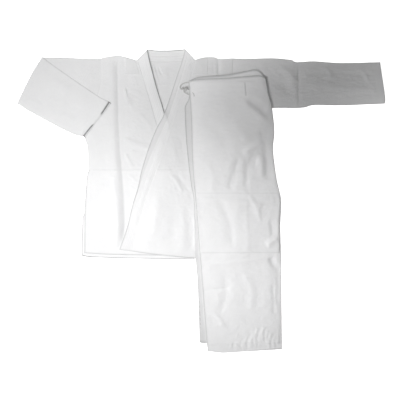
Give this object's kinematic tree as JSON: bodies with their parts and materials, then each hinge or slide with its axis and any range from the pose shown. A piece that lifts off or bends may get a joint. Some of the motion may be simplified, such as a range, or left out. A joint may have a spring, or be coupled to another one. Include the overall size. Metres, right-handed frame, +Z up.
{
  "type": "jiu-jitsu gi",
  "caption": "White cotton jiu-jitsu gi laid flat: an open jacket with one sleeve folded in, and drawstring trousers folded in half lengthwise on top of it.",
  "frame": {"origin": "on the surface that the garment lies on, below the middle of its box", "axes": "+Z up from the surface, +Y towards the collar, +X towards the wearer's left sleeve"},
  "size_m": [1.3189, 1.0928, 0.0259],
  "materials": {
    "jacket_weave": "matt bleached cotton in a coarse pearl weave",
    "skirt_cloth": "matt bleached cotton in a smoother diamond weave",
    "collar_cloth": "matt bleached cotton drill over a stiff core, stitched in rows",
    "facing_cloth": "matt bleached cotton drill, the inner side",
    "trouser_drill": "matt bleached cotton drill",
    "drawstring_tape": "woven cotton cord"
  },
  "bodies": {
    "root": {"back_body": "jacket_weave", "back_skirt": "skirt_cloth", "collar_neck": "facing_cloth", "inner_yoke": "facing_cloth", "front_right_body": "jacket_weave", "front_right_skirt": "skirt_cloth", "collar_right": "collar_cloth", "front_left_body": "jacket_weave", "front_left_skirt": "skirt_cloth", "collar_left": "collar_cloth", "shoulder_patch_right": "jacket_weave", "shoulder_patch_left": "jacket_weave", "sleeve_left": "jacket_weave", "sleeve_right": "jacket_weave", "leg_left": "trouser_drill", "leg_right": "trouser_drill", "knee_patch_right": "trouser_drill", "drawstring_keeper": "drawstring_tape", "drawstring_knot": "drawstring_tape", "drawstring_run": "drawstring_tape", "drawstring_lower_end": "drawstring_tape", "drawstring_upper_end": "drawstring_tape"}
  },
  "joints": []
}
